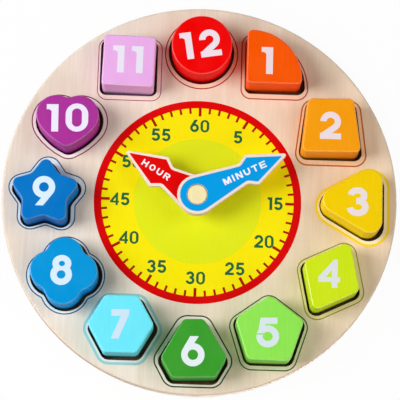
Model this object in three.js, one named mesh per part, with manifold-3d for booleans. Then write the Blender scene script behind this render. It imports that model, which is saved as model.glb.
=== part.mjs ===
import * as THREE from 'three';
import { mergeVertices } from 'three/addons/utils/BufferGeometryUtils.js';
import Module from 'manifold-3d';

// Wooden shape sorter clock, lying on its back.
// Millimetres. The origin is the centre of the back face, +Z points out of the dial and +Y to 12 o'clock.

const wasm = await Module();
wasm.setup();

// Board: two round plywood panels glued face to face, the upper one with the sockets cut right through.
const board_diameter = 220;
const base_thickness = 4;
const top_thickness = 6;
const rim_rounding = 1.2;

// The axle and its ring of sockets sit a little to the lower left of the board's centre.
const layout_shift_x = -1.5;
const layout_shift_y = -1.5;

// Layout of the twelve blocks: wood left outside them, and between two neighbours' widest places.
const rim_margin = 6.4;
const socket_web = 5.8;
const socket_clearance = 1.6;
const hour_count = 12;

// Blocks: each stands loose on the base panel and sticks out of its socket.
const block_height = 21.5;
const block_edge = 0.9;

// Printed dial: wood between its red ring and the blocks.
const dial_land = 7.9;

// Hands: the same ply and hub, two lengths.
const hand_thickness = 2.8;
const hand_edge = 0.3;
const hand_hub_radius = 11;
const minute_tip_to_ring = 3.8;
const hour_tip_to_minute_tip = 7.7;
const hand_tip_radius = 1.1;
const hand_shoulder_radius = 1.1;
const hand_neck_radius = 3;
const minute_neck_half_width = 6.1;
const minute_neck_reach = 28;
const minute_shoulder_half_width = 9.3;
const minute_shoulder_rise = 5.2;
const hour_neck_half_width = 6.3;
const hour_neck_reach = 19.6;
const hour_shoulder_half_width = 9.9;
const hour_shoulder_rise = 5.4;
const minute_bearing_deg = 63.4;
const hour_bearing_deg = 301;

// Axle: a headed wooden peg through both hands, drawn in by a screw from the back.
// The lands are how far the hub reaches past the peg's head and the washers.
const peg_radius = 3.5;
const peg_head_land = 5.6;
const peg_head_thickness = 1.7;
const peg_edge = 0.25;
const running_clearance = 0.3;
const running_gap = 0.15;
const washer_thickness = 0.4;
const washer_land = 3;
const collar_height = 8.25;
const collar_wall = 3.7;
const collar_edge = 0.4;

// Rear fixing, sunk below the back face.
const recess_radius = 7.5;
const recess_depth = 2.2;
const rear_washer_radius = 6;
const rear_washer_thickness = 0.7;
const screw_radius = 1.4;
const screw_length = 12;
const screw_head_radius = 3.1;
const screw_head_height = 1.1;
const screw_tip_length = 1.6;
const cross_width = 0.7;
const cross_depth = 0.6;
const cross_span_share = 0.62;

// Fineness of the curves, and how far a cut runs past what it cuts.
const chord_error = 0.05;
const overrun = 1;

// The blocks share one cell size, set by the ring that they stand on.
const board_radius = board_diameter / 2;
const half_pitch_sine = Math.sin(Math.PI / hour_count);
const block_cell = (2 * half_pitch_sine * (board_radius - rim_margin) - socket_web) / (1 + half_pitch_sine);
const block_ring_radius = board_radius - rim_margin - block_cell / 2;
const board_thickness = base_thickness + top_thickness;
const dial_radius = block_ring_radius - block_cell / 2 - dial_land;
const minute_length = dial_radius - minute_tip_to_ring;
const hour_length = minute_length - hour_tip_to_minute_tip;
const peg_head_radius = hand_hub_radius - peg_head_land;
const washer_radius = hand_hub_radius - washer_land;
const degree = Math.PI / 180;

// The play that a block has in its socket, sideways and as a turn in radians.
const socket_play = socket_clearance - running_clearance;
const turning_play = socket_play / (block_cell / 2);

// Colours of the paints and woods.
const birch = { color: '#e3cfb8', roughness: 0.62 };
const birch_dark = { color: '#cdb092', roughness: 0.7 };
const beech = { color: '#ecdcb8', roughness: 0.55 };
const steel = { color: '#b9bcc0', roughness: 0.35, metalness: 1 };
const fibre = { color: '#4a4038', roughness: 0.9 };

// An outline is a list of arcs joined by straight lines, anticlockwise. Each arc has its centre, its
// radius (negative where the outline bends inward) and the angles of its outward normal at both ends.
function fullCircle(radius) {
  return [{ x: 0, y: 0, radius, from: 0, to: 2 * Math.PI, full: true }];
}

function cornerArc(before, corner, after, radius) {
  const edge_in = corner.clone().sub(before).normalize();
  const edge_out = after.clone().sub(corner).normalize();
  const turn = Math.sign(edge_in.cross(edge_out));
  const normal_in = new THREE.Vector2(edge_in.y, -edge_in.x);
  const normal_out = new THREE.Vector2(edge_out.y, -edge_out.x);
  const signed = radius * turn;
  const middle = normal_in.clone().add(normal_out);
  const inset = signed / (1 + normal_in.dot(normal_out));
  const centre = corner.clone().sub(middle.multiplyScalar(inset));
  const from = Math.atan2(normal_in.y, normal_in.x);
  const sweep = turn * Math.acos(THREE.MathUtils.clamp(normal_in.dot(normal_out), -1, 1));
  return { x: centre.x, y: centre.y, radius: signed, from, to: from + sweep };
}

function roundedPolygon(corners) {
  const points = corners.map(([x, y]) => new THREE.Vector2(x, y));
  return points.map((point, i) => {
    const before = points[(i + points.length - 1) % points.length];
    const after = points[(i + 1) % points.length];
    return cornerArc(before, point, after, corners[i][2]);
  });
}

function outlinePoints(arcs, offset) {
  const points = [];
  for (const arc of arcs) {
    const radius = arc.radius + offset;
    const sag_share = Math.min(chord_error / Math.abs(radius), 1);
    const widest_step = 2 * Math.acos(1 - sag_share);
    const needed = Math.max(1, Math.ceil(Math.abs(arc.to - arc.from) / widest_step));
    const steps = arc.full ? 4 * Math.ceil(needed / 4) : needed;
    for (let i = 0; i < steps + (arc.full ? 0 : 1); i += 1) {
      const angle = arc.from + ((arc.to - arc.from) * i) / steps;
      points.push(new THREE.Vector2(arc.x + radius * Math.cos(angle), arc.y + radius * Math.sin(angle)));
    }
  }
  return points;
}

// Height on the Y axis where the tangent from a point to a circle centred on that axis meets the axis.
function tangentApex(point_x, point_y, circle_y, radius) {
  const rise = circle_y - point_y;
  const reach = Math.hypot(point_x, rise);
  const slope = Math.atan2(rise, -point_x) - Math.asin(radius / reach);
  return point_y - point_x * Math.tan(slope);
}

// Outlines of the twelve blocks about their own centres, in shares of the block cell.
function regularPolygon(sides, radius_share, corner_share, first_deg) {
  const corners = [];
  for (let i = 0; i < sides; i += 1) {
    const angle = first_deg * degree + (2 * Math.PI * i) / sides;
    const x = radius_share * block_cell * Math.cos(angle);
    const y = radius_share * block_cell * Math.sin(angle);
    corners.push([x, y, corner_share * block_cell]);
  }
  return roundedPolygon(corners);
}

function mirroredPolygon(corner_shares) {
  const right = corner_shares.map(([x, y, corner]) => [x * block_cell, y * block_cell, corner * block_cell]);
  const left = right.map(([x, y, corner]) => [-x, y, corner]).reverse();
  return roundedPolygon([...right, ...left]);
}

function disc() {
  const radius_share = 0.446;
  return fullCircle(radius_share * block_cell);
}

function quarterDisc() {
  const leg_share = 0.813;
  const arc_centre_share = 0.06;
  const heel_radius_share = 0.055;
  const toe_radius_share = 0.08;
  const leg = leg_share * block_cell;
  const arc_centre = arc_centre_share * block_cell;
  const heel = heel_radius_share * block_cell;
  const toe = toe_radius_share * block_cell;
  const arc_radius = leg - arc_centre;
  const toe_reach = arc_centre + Math.sqrt((arc_radius - toe) ** 2 - (toe - arc_centre) ** 2);
  const toe_angle = Math.atan2(toe - arc_centre, toe_reach - arc_centre);
  const shift = -leg / 2;
  const at = (x, y, radius, from, to) => ({ x: x + shift, y: y + shift, radius, from, to });
  return [
    at(heel, heel, heel, Math.PI, 1.5 * Math.PI),
    at(toe_reach, toe, toe, -Math.PI / 2, toe_angle),
    at(arc_centre, arc_centre, arc_radius, toe_angle, Math.PI / 2 - toe_angle),
    at(toe, toe_reach, toe, Math.PI / 2 - toe_angle, Math.PI),
  ];
}

function trapezoid() {
  const corner_shares = [[0.434, -0.402, 0.08], [0.333, 0.402, 0.08]];
  return mirroredPolygon(corner_shares);
}

function triangle() {
  const height_share = 1.053;
  const corner_share = 0.187;
  const height = height_share * block_cell;
  const corner = corner_share * block_cell;
  const half_side = height / Math.sqrt(3);
  return roundedPolygon([
    [(-2 * height) / 3, 0, corner],
    [height / 3, -half_side, corner],
    [height / 3, half_side, corner],
  ]);
}

function rhombus() {
  const half_width_share = 0.356;
  const corner_share = 0.09;
  const long_edge_deg = 25.5;
  const short_edge_deg = 101.65;
  const half_width = half_width_share * block_cell;
  const corner = corner_share * block_cell;
  const long_edge = new THREE.Vector2(Math.cos(long_edge_deg * degree), Math.sin(long_edge_deg * degree));
  const short_edge = new THREE.Vector2(Math.cos(short_edge_deg * degree), Math.sin(short_edge_deg * degree));
  const half_side = half_width / long_edge.cross(short_edge);
  const signs = [[-1, -1], [1, -1], [1, 1], [-1, 1]];
  return roundedPolygon(signs.map(([along, across]) => {
    const x = half_side * (along * long_edge.x + across * short_edge.x);
    const y = half_side * (along * long_edge.y + across * short_edge.y);
    return [x, y, corner];
  }));
}

function pentagon() {
  const sides = 5;
  const radius_share = 0.517;
  const corner_share = 0.095;
  const first_deg = 90;
  return regularPolygon(sides, radius_share, corner_share, first_deg);
}

function cutTriangle() {
  const corner_shares = [[0.312, -0.418, 0.09], [0.474, -0.131, 0.09], [0.147, 0.418, 0.09]];
  return mirroredPolygon(corner_shares);
}

function hexagon() {
  const sides = 6;
  const radius_share = 0.4745;
  const corner_share = 0.085;
  return regularPolygon(sides, radius_share, corner_share, 0);
}

function quatrefoil() {
  const lobe_place_share = 0.2133;
  const lobe_radius_share = 0.2723;
  const notch_radius_share = 0.1272;
  const lobe_place = lobe_place_share * block_cell;
  const lobe_radius = lobe_radius_share * block_cell;
  const notch_radius = notch_radius_share * block_cell;
  const across = lobe_place * Math.SQRT1_2;
  const notch_place = across + Math.sqrt((lobe_radius + notch_radius) ** 2 - across ** 2);
  const reach = Math.asin((notch_place * Math.SQRT1_2) / (lobe_radius + notch_radius));
  const behind = notch_place * Math.SQRT1_2 < lobe_place;
  const half_lobe = behind ? Math.PI - reach : reach;
  const arcs = [];
  for (let i = 0; i < 4; i += 1) {
    const lobe = (i * Math.PI) / 2;
    const notch = lobe + Math.PI / 4;
    arcs.push({
      x: lobe_place * Math.cos(lobe),
      y: lobe_place * Math.sin(lobe),
      radius: lobe_radius,
      from: lobe - half_lobe,
      to: lobe + half_lobe,
    });
    arcs.push({
      x: notch_place * Math.cos(notch),
      y: notch_place * Math.sin(notch),
      radius: -notch_radius,
      from: lobe + half_lobe,
      to: lobe + Math.PI / 2 - half_lobe,
    });
  }
  return arcs;
}

function star() {
  const tip_count = 5;
  const tip_place_share = 0.389;
  const tip_radius_share = 0.096;
  const valley_place_share = 0.338;
  const valley_radius_share = 0.15;
  const half_step = Math.PI / tip_count;
  const tip = tip_radius_share * block_cell;
  const valley = valley_radius_share * block_cell;
  const valley_place = valley_place_share * block_cell;
  const valley_x = valley_place * Math.sin(half_step);
  const valley_y = valley_place * Math.cos(half_step);
  const tip_apex = tangentApex(valley_x, valley_y, tip_place_share * block_cell, tip);
  const corners = [];
  for (let i = 0; i < tip_count; i += 1) {
    const outward = Math.PI / 2 + 2 * half_step * i;
    const between = outward + half_step;
    corners.push([tip_apex * Math.cos(outward), tip_apex * Math.sin(outward), tip]);
    corners.push([valley_place * Math.cos(between), valley_place * Math.sin(between), valley]);
  }
  return roundedPolygon(corners);
}

function heart() {
  const half_width_share = 0.4565;
  const lobe_radius_share = 0.294;
  const lobe_height_share = 0.058;
  const foot_height_share = -0.306;
  const foot_radius_share = 0.107;
  const flank_radius_share = 0.976;
  const notch_radius_share = 0.13;
  const lobe = lobe_radius_share * block_cell;
  const lobe_x = half_width_share * block_cell - lobe;
  const lobe_y = lobe_height_share * block_cell;
  const foot = foot_radius_share * block_cell;
  const foot_y = foot_height_share * block_cell;
  const flank = flank_radius_share * block_cell;
  const notch = notch_radius_share * block_cell;
  // The flank's arc touches the lobe and the foot from outside, so its centre is fixed by both.
  const from_lobe = flank - lobe;
  const from_foot = flank - foot;
  const span = Math.hypot(lobe_x, foot_y - lobe_y);
  const along = (from_lobe ** 2 - from_foot ** 2 + span ** 2) / (2 * span);
  const aside = Math.sqrt(from_lobe ** 2 - along ** 2);
  const down = new THREE.Vector2(-lobe_x, foot_y - lobe_y).divideScalar(span);
  const flank_x = lobe_x + along * down.x + aside * down.y;
  const flank_y = lobe_y + along * down.y - aside * down.x;
  const at_lobe = Math.atan2(lobe_y - flank_y, lobe_x - flank_x);
  const at_foot = Math.atan2(foot_y - flank_y, -flank_x);
  const notch_y = lobe_y + Math.sqrt((lobe + notch) ** 2 - lobe_x ** 2);
  const at_notch = Math.atan2(notch_y - lobe_y, -lobe_x);
  return [
    { x: 0, y: foot_y, radius: foot, from: -Math.PI - at_foot, to: at_foot },
    { x: flank_x, y: flank_y, radius: flank, from: at_foot, to: at_lobe },
    { x: lobe_x, y: lobe_y, radius: lobe, from: at_lobe, to: at_notch },
    { x: 0, y: notch_y, radius: -notch, from: at_notch, to: Math.PI - at_notch },
    { x: -lobe_x, y: lobe_y, radius: lobe, from: Math.PI - at_notch, to: Math.PI - at_lobe },
    { x: -flank_x, y: flank_y, radius: flank, from: Math.PI - at_lobe, to: Math.PI - at_foot },
  ];
}

function square() {
  const corner_shares = [[0.382, -0.382, 0.055], [0.382, 0.382, 0.055]];
  return mirroredPolygon(corner_shares);
}

// Each block: its hour, its shape, its paint, how far its socket leans off its hour clockwise, and
// the socket's distance from the axle as a share of the block ring. Places are from the axle.
const blocks = [
  { hour: 1, name: 'quarter_disc', arcs: quarterDisc(), color: '#ff5a00', lean_deg: -2, ring_share: 1.061 },
  { hour: 2, name: 'trapezoid', arcs: trapezoid(), color: '#ffa00f', lean_deg: 0.52, ring_share: 1.0046 },
  { hour: 3, name: 'triangle', arcs: triangle(), color: '#f7d200', lean_deg: 0.53, ring_share: 1.0571 },
  { hour: 4, name: 'rhombus', arcs: rhombus(), color: '#d4eb1e', lean_deg: 0.07, ring_share: 1.0215 },
  { hour: 5, name: 'pentagon', arcs: pentagon(), color: '#91eb55', lean_deg: 0.67, ring_share: 1.0029 },
  { hour: 6, name: 'cut_triangle', arcs: cutTriangle(), color: '#3ca02d', lean_deg: -0.3, ring_share: 1.007 },
  { hour: 7, name: 'hexagon', arcs: hexagon(), color: '#6eebff', lean_deg: -2.29, ring_share: 0.9798 },
  { hour: 8, name: 'quatrefoil', arcs: quatrefoil(), color: '#0096e1', lean_deg: -2.3, ring_share: 0.9885 },
  { hour: 9, name: 'star', arcs: star(), color: '#0073cd', lean_deg: -0.7, ring_share: 0.988 },
  { hour: 10, name: 'heart', arcs: heart(), color: '#aa329b', lean_deg: -0.68, ring_share: 0.9832 },
  { hour: 11, name: 'square', arcs: square(), color: '#e8aae8', lean_deg: 1.64, ring_share: 1.0068 },
  { hour: 12, name: 'disc', arcs: disc(), color: '#ff0000', lean_deg: 0.17, ring_share: 1.008 },
];

// How each block lies in its socket: off the middle to the right and up, and turned anticlockwise,
// each as a share of the play. A row's offset and turn add up to less than one.
const loose_shares = {
  quarter_disc: [-0.8, 0.53, 0],
  trapezoid: [-0.7, -0.1, 0.28],
  triangle: [-0.77, 0.12, 0],
  rhombus: [-0.25, 0.2, 0],
  pentagon: [-0.3, -0.08, 0],
  cut_triangle: [0.05, 0.42, 0.5],
  hexagon: [-0.56, 0.58, 0],
  quatrefoil: [-0.46, 0.08, -0.43],
  star: [0, -0.23, 0],
  heart: [-0.32, -0.15, 0],
  square: [0.23, 0, -0.38],
  disc: [0, 0.1, 0],
};

function socketPlace(block) {
  const bearing = (360 / hour_count * block.hour + block.lean_deg) * degree;
  const reach = block.ring_share * block_ring_radius;
  return new THREE.Vector2(reach * Math.sin(bearing), reach * Math.cos(bearing));
}

// Geometry helpers.
function welded(geometry) {
  geometry.deleteAttribute('normal');
  geometry.deleteAttribute('uv');
  return mergeVertices(geometry);
}

function toSolid(geometry) {
  const closed = welded(geometry);
  return new wasm.Manifold(new wasm.Mesh({
    numProp: 3,
    vertProperties: closed.attributes.position.array,
    triVerts: Uint32Array.from(closed.index.array),
  }));
}

function toGeometry(solid) {
  const result = solid.getMesh();
  const geometry = new THREE.BufferGeometry();
  geometry.setAttribute('position', new THREE.Float32BufferAttribute(result.vertProperties, 3));
  geometry.setIndex(new THREE.Uint32BufferAttribute(result.triVerts, 1));
  return geometry;
}

// A profile of [radius, height] points turned about the Z axis.
function turned(profile, radius) {
  const points = profile.map(([r, z]) => new THREE.Vector2(r, z));
  const widest_step = 2 * Math.acos(1 - Math.min(chord_error / radius, 1));
  const segments = 4 * Math.ceil(Math.PI / 2 / widest_step);
  const geometry = new THREE.LatheGeometry(points, segments);
  const position = geometry.attributes.position;
  for (let i = 0; i < position.count; i += 1) {
    position.setXYZ(i, position.getX(i), -position.getZ(i), position.getY(i));
  }
  return welded(geometry);
}

// A closed ring of rectangular section.
function ring(inner, outer, bottom, top) {
  return turned([[inner, bottom], [outer, bottom], [outer, top], [inner, top], [inner, bottom]], outer);
}

// A prism with eased edges, standing on z = bottom.
function easedPrism(points, bottom, height, edge) {
  const geometry = new THREE.ExtrudeGeometry(new THREE.Shape(points), {
    depth: height - 2 * edge,
    bevelEnabled: true,
    bevelThickness: edge,
    bevelSize: edge,
    bevelOffset: -edge,
    bevelSegments: 3,
  });
  geometry.translate(0, 0, bottom + edge);
  return welded(geometry);
}

function plainPrism(points, bottom, top) {
  const geometry = new THREE.ExtrudeGeometry(new THREE.Shape(points), {
    depth: top - bottom,
    bevelEnabled: false,
  });
  geometry.translate(0, 0, bottom);
  return geometry;
}

// The panels stand in the clock's own frame; all else stands around the axle.
const clock = new THREE.Group();
const around_axle = new THREE.Group();
around_axle.position.set(layout_shift_x, layout_shift_y, 0);
clock.add(around_axle);

function addPart(group, name, geometry, finish) {
  const material = new THREE.MeshStandardMaterial({ metalness: 0, ...finish });
  const mesh = new THREE.Mesh(geometry, material);
  mesh.name = name;
  group.add(mesh);
  return mesh;
}

// Quarter-round points of a rim, from its flat side to its edge or back.
function rimCurve(outer, height, rounding, from, to) {
  const steps = 3;
  const points = [];
  for (let i = 0; i <= steps; i += 1) {
    const angle = from + ((to - from) * i) / steps;
    points.push([outer - rounding + rounding * Math.cos(angle), height + rounding * Math.sin(angle)]);
  }
  return points;
}

// Heights of the stack on the axle.
const collar_top = board_thickness + collar_height;
const lower_washer_top = collar_top + washer_thickness;
const hour_bottom = lower_washer_top + running_gap;
const hour_top = hour_bottom + hand_thickness;
const middle_washer_bottom = hour_top + running_gap;
const middle_washer_top = middle_washer_bottom + washer_thickness;
const minute_bottom = middle_washer_top + running_gap;
const minute_top = minute_bottom + hand_thickness;
const peg_bottom = recess_depth + running_clearance;
const bore_radius = peg_radius + running_clearance;
const collar_radius = bore_radius + collar_wall;
const head_bore_radius = peg_head_radius + running_clearance;
const head_bottom = minute_top - peg_head_thickness;
const head_seat = head_bottom - running_clearance;

function drill(radius, bottom, top) {
  return turned([[0, bottom], [radius, bottom], [radius, top], [0, top]], radius);
}

// A panel less its cutters, which are placed from the axle.
function cutPanel(blank, cutters) {
  let panel = toSolid(blank);
  for (const cutter of cutters) {
    cutter.translate(layout_shift_x, layout_shift_y, 0);
    panel = panel.subtract(toSolid(cutter));
  }
  return toGeometry(panel);
}

function makeBasePanel() {
  const blank = turned([
    [0, 0],
    ...rimCurve(board_radius, rim_rounding, rim_rounding, -Math.PI / 2, 0),
    [board_radius, base_thickness],
    [0, base_thickness],
  ], board_radius);
  const cutters = [
    drill(bore_radius, -overrun, base_thickness + overrun),
    drill(recess_radius, -overrun, recess_depth),
  ];
  addPart(clock, 'base_panel', cutPanel(blank, cutters), birch_dark);
}

function makeTopPanel() {
  const blank = turned([
    [0, base_thickness],
    [board_radius, base_thickness],
    ...rimCurve(board_radius, board_thickness - rim_rounding, rim_rounding, 0, Math.PI / 2),
    [0, board_thickness],
  ], board_radius);
  const sockets = blocks.map((block) => {
    const place = socketPlace(block);
    const points = outlinePoints(block.arcs, socket_clearance);
    const cutter = plainPrism(points, base_thickness - overrun, board_thickness + overrun);
    return cutter.translate(place.x, place.y, 0);
  });
  const bore = drill(bore_radius, base_thickness - overrun, board_thickness + overrun);
  addPart(clock, 'top_panel', cutPanel(blank, [bore, ...sockets]), birch);
}

function makeBlocks() {
  for (const block of blocks) {
    const place = socketPlace(block);
    const [right_share, up_share, turn_share] = loose_shares[block.name];
    const points = outlinePoints(block.arcs, 0);
    const geometry = easedPrism(points, 0, block_height, block_edge);
    const finish = { color: block.color, roughness: 0.45 };
    const mesh = addPart(around_axle, `block_${block.hour}_${block.name}`, geometry, finish);
    const x = place.x + right_share * socket_play;
    const y = place.y + up_share * socket_play;
    mesh.position.set(x, y, base_thickness);
    mesh.rotation.z = turn_share * turning_play;
  }
}

// A hand pointing to +Y: round hub, tapering shank, notched neck and an arrow head.
function handOutline(length, neck_half_width, neck_reach, shoulder_half_width, shoulder_rise) {
  const shoulder_reach = neck_reach + shoulder_rise;
  const apex = tangentApex(shoulder_half_width, shoulder_reach, length - hand_tip_radius, hand_tip_radius);
  const neck_distance = Math.hypot(neck_half_width, neck_reach);
  const neck_angle = Math.atan2(neck_reach, neck_half_width);
  const touch = neck_angle - Math.acos(hand_hub_radius / neck_distance);
  const touch_point = new THREE.Vector2(Math.cos(touch), Math.sin(touch)).multiplyScalar(hand_hub_radius);
  const neck = new THREE.Vector2(neck_half_width, neck_reach);
  const shoulder = new THREE.Vector2(shoulder_half_width, shoulder_reach);
  const tip = new THREE.Vector2(0, apex);
  const mirrored = (point) => new THREE.Vector2(-point.x, point.y);
  return [
    { x: 0, y: 0, radius: hand_hub_radius, from: -Math.PI - touch, to: touch },
    cornerArc(touch_point, neck, shoulder, hand_neck_radius),
    cornerArc(neck, shoulder, tip, hand_shoulder_radius),
    cornerArc(shoulder, tip, mirrored(shoulder), hand_tip_radius),
    cornerArc(tip, mirrored(shoulder), mirrored(neck), hand_shoulder_radius),
    cornerArc(mirrored(shoulder), mirrored(neck), mirrored(touch_point), hand_neck_radius),
  ];
}

function makeHand(name, outline, bottom, bearing_deg, cutters, color) {
  const blank = easedPrism(outlinePoints(outline, 0), bottom, hand_thickness, hand_edge);
  let hand = toSolid(blank);
  for (const cutter of cutters) {
    hand = hand.subtract(toSolid(cutter));
  }
  const mesh = addPart(around_axle, name, toGeometry(hand), { color, roughness: 0.5 });
  mesh.rotation.z = -bearing_deg * degree;
}

function makeHands() {
  const minute = handOutline(
    minute_length,
    minute_neck_half_width,
    minute_neck_reach,
    minute_shoulder_half_width,
    minute_shoulder_rise,
  );
  const hour = handOutline(
    hour_length,
    hour_neck_half_width,
    hour_neck_reach,
    hour_shoulder_half_width,
    hour_shoulder_rise,
  );
  makeHand('hour_hand', hour, hour_bottom, hour_bearing_deg, [
    drill(bore_radius, hour_bottom - overrun, hour_top + overrun),
  ], '#ff000a');
  makeHand('minute_hand', minute, minute_bottom, minute_bearing_deg, [
    drill(bore_radius, minute_bottom - overrun, minute_top + overrun),
    drill(head_bore_radius, head_seat, minute_top + overrun),
  ], '#0096eb');
}

function makeAxle() {
  const pilot_radius = screw_radius + running_clearance;
  const screw_top = recess_depth - rear_washer_thickness + screw_length;
  const pilot_top = screw_top + running_clearance;
  addPart(around_axle, 'axle_peg', turned([
    [0, pilot_top],
    [pilot_radius, pilot_top],
    [pilot_radius, peg_bottom],
    [peg_radius, peg_bottom],
    [peg_radius, head_bottom],
    [peg_head_radius, head_bottom],
    [peg_head_radius, minute_top - peg_edge],
    [peg_head_radius - peg_edge, minute_top],
    [0, minute_top],
  ], peg_head_radius), beech);
  addPart(around_axle, 'spacer_collar', turned([
    [bore_radius, board_thickness],
    [collar_radius, board_thickness],
    [collar_radius, collar_top - collar_edge],
    [collar_radius - collar_edge, collar_top],
    [bore_radius, collar_top],
    [bore_radius, board_thickness],
  ], collar_radius), beech);
  const lower_washer = ring(bore_radius, washer_radius, collar_top, lower_washer_top);
  addPart(around_axle, 'lower_washer', lower_washer, fibre);
  const middle_washer = ring(bore_radius, washer_radius, middle_washer_bottom, middle_washer_top);
  addPart(around_axle, 'middle_washer', middle_washer, fibre);
}

function makeRearFixing() {
  const washer_bottom = recess_depth - rear_washer_thickness;
  const washer_bore = screw_radius + running_clearance;
  const rear_washer = ring(washer_bore, rear_washer_radius, washer_bottom, recess_depth);
  addPart(around_axle, 'rear_washer', rear_washer, steel);
  const head_base = washer_bottom - screw_head_height;
  const screw_top = washer_bottom + screw_length;
  let screw = toSolid(turned([
    [0, head_base],
    [screw_head_radius, head_base],
    [screw_head_radius, washer_bottom],
    [screw_radius, washer_bottom],
    [screw_radius, screw_top - screw_tip_length],
    [0, screw_top],
  ], screw_head_radius));
  const cross_span = 2 * screw_head_radius * cross_span_share;
  const slot_height = cross_depth + overrun;
  for (const [width, depth] of [[cross_span, cross_width], [cross_width, cross_span]]) {
    const slot = new THREE.BoxGeometry(width, depth, slot_height);
    slot.translate(0, 0, head_base + cross_depth - slot_height / 2);
    screw = screw.subtract(toSolid(slot));
  }
  addPart(around_axle, 'rear_screw', toGeometry(screw), steel);
}

makeBasePanel();
makeTopPanel();
makeBlocks();
makeAxle();
makeHands();
makeRearFixing();

export default clock;
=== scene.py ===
import math
from collections import namedtuple

import bpy
from mathutils import Matrix, Vector
from mathutils.geometry import delaunay_2d_cdt


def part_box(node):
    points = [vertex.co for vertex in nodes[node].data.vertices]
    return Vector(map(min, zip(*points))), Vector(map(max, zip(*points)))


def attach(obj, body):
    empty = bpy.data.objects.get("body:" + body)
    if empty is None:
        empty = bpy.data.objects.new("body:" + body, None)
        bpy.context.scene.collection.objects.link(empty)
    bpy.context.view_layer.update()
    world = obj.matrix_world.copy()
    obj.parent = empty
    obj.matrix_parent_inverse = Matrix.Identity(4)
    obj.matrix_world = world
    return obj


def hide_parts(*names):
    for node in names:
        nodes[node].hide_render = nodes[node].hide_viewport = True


# Wooden shape sorter clock: woods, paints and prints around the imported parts.
# The frame is in metres. Sizes here are in millimetres and multiplied by MM. Names that end in _deg or _DEG
# give degrees, and other angles are in radians. Colours are sRGB triples of 0 to 255.
MM = 0.001
TAU = 2 * math.pi

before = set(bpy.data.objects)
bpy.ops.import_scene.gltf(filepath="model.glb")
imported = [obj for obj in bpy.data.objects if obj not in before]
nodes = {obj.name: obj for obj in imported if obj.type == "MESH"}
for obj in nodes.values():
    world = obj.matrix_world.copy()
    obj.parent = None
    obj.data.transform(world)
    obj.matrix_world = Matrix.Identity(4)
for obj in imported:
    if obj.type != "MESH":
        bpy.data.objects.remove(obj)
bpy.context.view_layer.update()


def middle(node):
    low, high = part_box(node)
    return ((low + high) / 2 / MM).xy


def half_width(node):
    low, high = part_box(node)
    return (high.x - low.x) / 2 / MM


def top_of(node):
    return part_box(node)[1].z / MM


# Heights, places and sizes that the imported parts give.
BASE_TOP = top_of("base_panel")
PANEL_TOP = top_of("top_panel")
BLOCK_TOP = top_of("block_12_disc")
HOUR_TOP = top_of("hour_hand")
MINUTE_TOP = top_of("minute_hand")
AXLE = middle("spacer_collar")
COLLAR_RADIUS = half_width("spacer_collar")
BOARD_RADIUS = half_width("top_panel")
PEG_HEAD_RADIUS = half_width("axle_peg")

# The blocks' outlines are shares of one cell, and the round block gives the cell's size.
DISC_RADIUS_SHARE = 0.446
BLOCK_CELL = half_width("block_12_disc") / DISC_RADIUS_SHARE
BLOCK_EDGE = 0.9
BLOCK_EDGE_STEPS = 6
SOCKET_CLEARANCE = 1.6

# A block lies loose in its socket, with this play sideways and this much as a turn.
LEAST_WALL_GAP = 0.3
PLAY = SOCKET_CLEARANCE - LEAST_WALL_GAP
TURNING_PLAY_DEG = math.degrees(PLAY / (BLOCK_CELL / 2))

# Inks lie on the wood as films of this thickness; a second coat goes over the first.
FILM = 0.04

# The print of the blocks' numerals, and of the land between a socket's edge and the line round it.
NUMERAL_WIDTH, NUMERAL_HEIGHT, NUMERAL_WEIGHT, NUMERAL_GAP = 12.6, 16.2, 3.5, 3.8
LAND_INSET = 0.15

# The dial's print lies a little off the axle, with a hole round the collar. A minute mark is (length, width)
# and overlaps the rim a little.
DIAL_CENTRE = AXLE + Vector((0.45, -0.7))
DIAL_RADIUS = 57.7
DIAL_RIM = 4.2
FIELD_RADIUS = DIAL_RADIUS - DIAL_RIM
LIME_RADIUS = 35.5
COLLAR_GAP = 0.1
DEG_PER_MINUTE = 6
LONG_MARK, SHORT_MARK = (4.7, 1.55), (3.1, 1.25)
MARK_OVERLAP = 0.05
NUMBER_RADIUS = 43.2
NUMBER_WIDTH, NUMBER_HEIGHT, NUMBER_WEIGHT, NUMBER_GAP = 4.9, 7.2, 1.4, 0.9

# Where the hands point at rest, clockwise from 12 o'clock.
HOUR_BEARING_DEG = 301.0
MINUTE_BEARING_DEG = 63.4


# Flat shapes

def turn(angle):
    """Unit vector at an angle from +X."""
    return Vector((math.cos(angle), math.sin(angle)))


def arc(centre, radius_x, radius_y, start_deg, end_deg, count):
    """Points along an elliptical arc."""
    points = []
    for i in range(count + 1):
        angle = math.radians(start_deg + (end_deg - start_deg) * i / count)
        x = centre[0] + radius_x * math.cos(angle)
        y = centre[1] + radius_y * math.sin(angle)
        points.append(Vector((x, y)))
    return points


def ellipse(centre, radius_x, radius_y, count):
    return arc(centre, radius_x, radius_y, 0, 360, count)[:-1]


def circle(radius, count, centre=(0, 0)):
    return ellipse(centre, radius, radius, count)


def polygon(*corners):
    return [Vector(corner) for corner in corners]


def rectangle(x0, y0, x1, y1):
    return polygon((x0, y0), (x1, y0), (x1, y1), (x0, y1))


def stadium(x0, y0, x1, y1):
    """An upright round-ended bar."""
    radius = (x1 - x0) / 2
    centre_x = (x0 + x1) / 2
    upper = arc((centre_x, y1 - radius), radius, radius, 0, 180, 20)
    lower = arc((centre_x, y0 + radius), radius, radius, 180, 360, 20)
    return upper + lower


# The least cosine of half a bend that a stroke's corner follows; a sharper corner is held back.
MITRE_LIMIT = 0.3


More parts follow.
